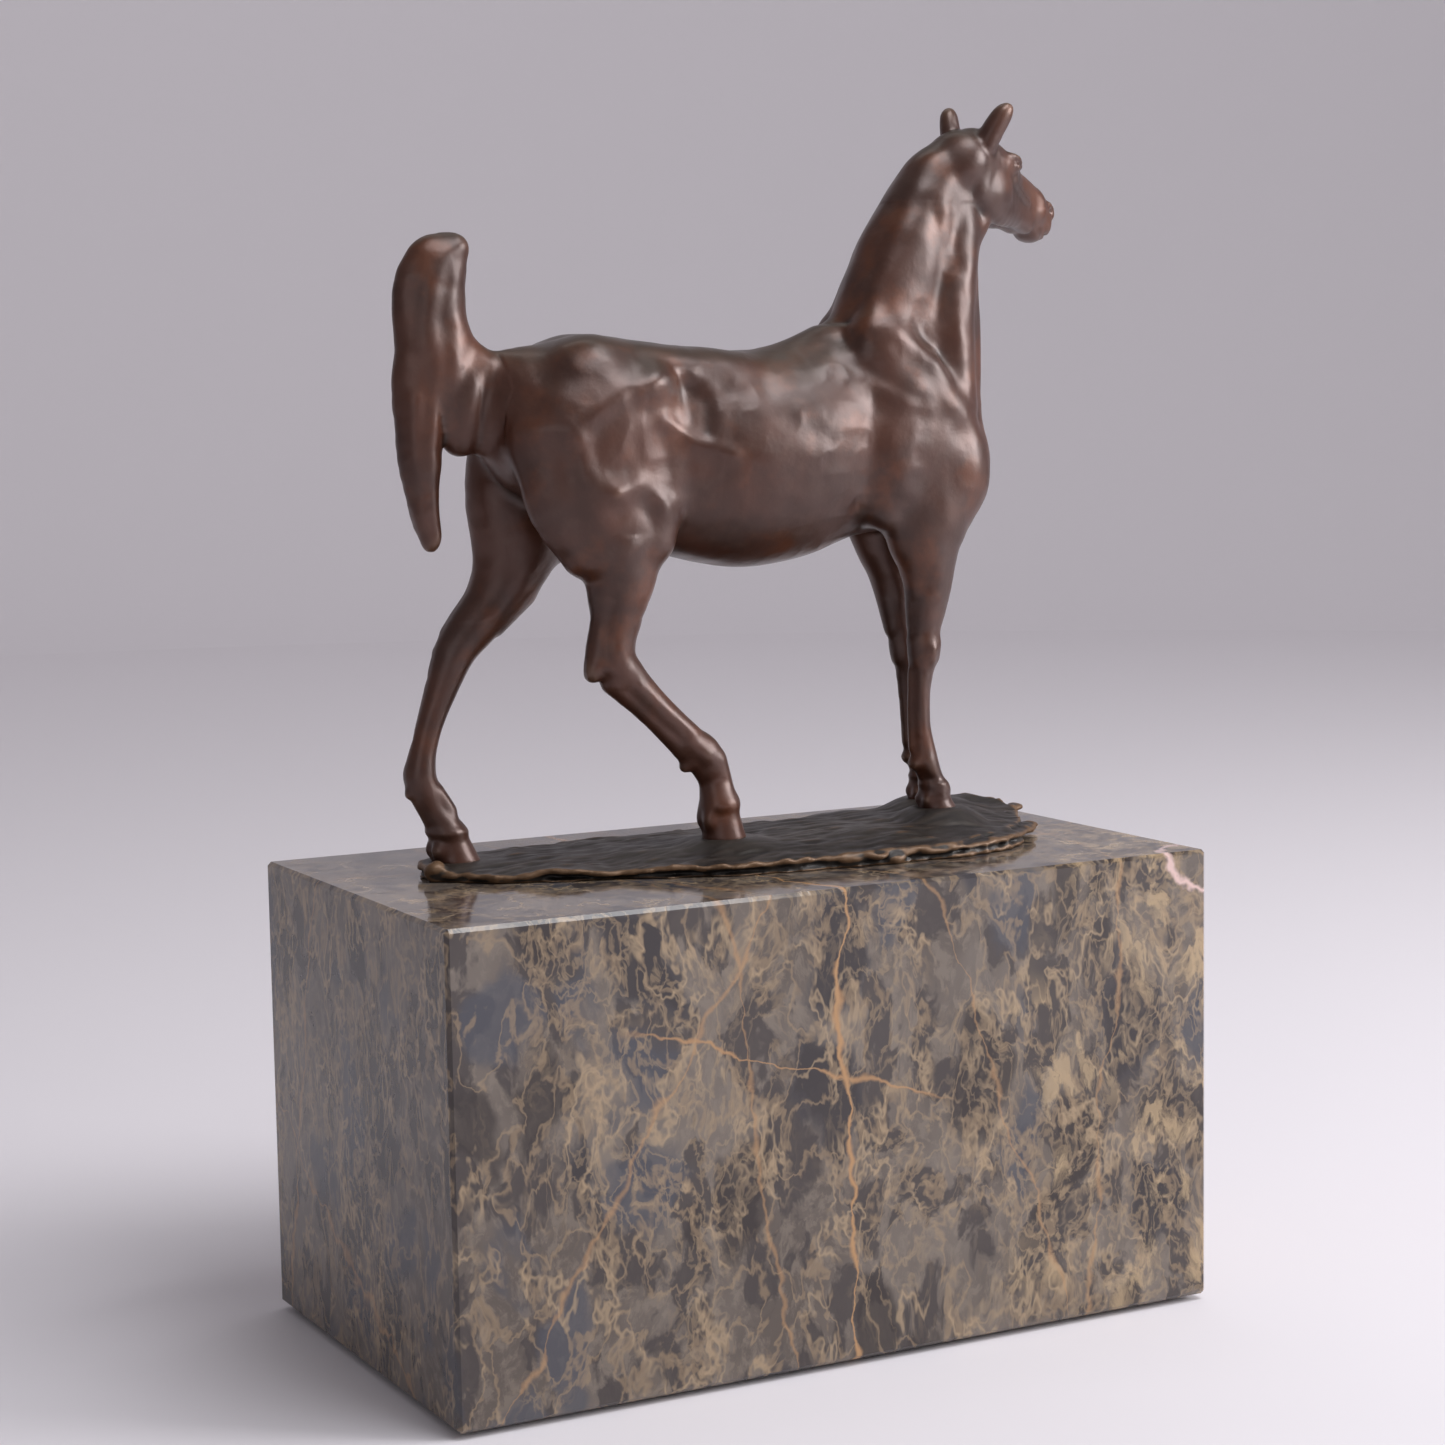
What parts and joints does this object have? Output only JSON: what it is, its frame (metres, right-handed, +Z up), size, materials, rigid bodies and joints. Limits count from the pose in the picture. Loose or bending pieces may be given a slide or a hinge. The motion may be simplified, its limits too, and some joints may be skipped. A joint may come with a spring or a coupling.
{
  "type": "bronze horse statue",
  "caption": "Standing bronze horse with raised tail and turned head on a ground plate, fixed to a polished marble block with felt pads under it.",
  "frame": {"origin": "centre of the whole object's footprint, on the surface that the felt pads stand on", "axes": "+X is the way the horse heads, +Y its left side, +Z up"},
  "size_m": [0.2025, 0.113, 0.2961],
  "materials": {
    "bronze_casting": "dark brown wax patina, satin, lighter on worn edges",
    "bronze_ground": "grey-brown patina, rough cast, worn golden rim",
    "marble": "polished brown marble with tan and cream veins",
    "steel_fastener": "zinc plated",
    "bronze_pin": "drawn bronze rod",
    "felt": "dark green felt"
  },
  "bodies": {
    "root": {"marble_base": "marble", "ground_plate": "bronze_ground", "horse_body": "bronze_casting", "tail": "bronze_casting", "leg_front_right": "bronze_casting", "leg_front_left": "bronze_casting", "leg_hind_right": "bronze_casting", "leg_hind_left": "bronze_casting", "hoof_screw_front_right": "steel_fastener", "hoof_screw_front_left": "steel_fastener", "hoof_screw_hind_right": "steel_fastener", "hoof_screw_hind_left": "steel_fastener", "leg_pin_front_right": "bronze_pin", "leg_pin_front_left": "bronze_pin", "leg_pin_hind_right": "bronze_pin", "leg_pin_hind_left": "bronze_pin", "tail_pin": "bronze_pin", "mounting_stud_front": "steel_fastener", "mounting_stud_rear": "steel_fastener", "washer_front": "steel_fastener", "washer_rear": "steel_fastener", "nut_front": "steel_fastener", "nut_rear": "steel_fastener", "felt_pad_front_right": "felt", "felt_pad_front_left": "felt", "felt_pad_rear_right": "felt", "felt_pad_rear_left": "felt"}
  },
  "joints": []
}
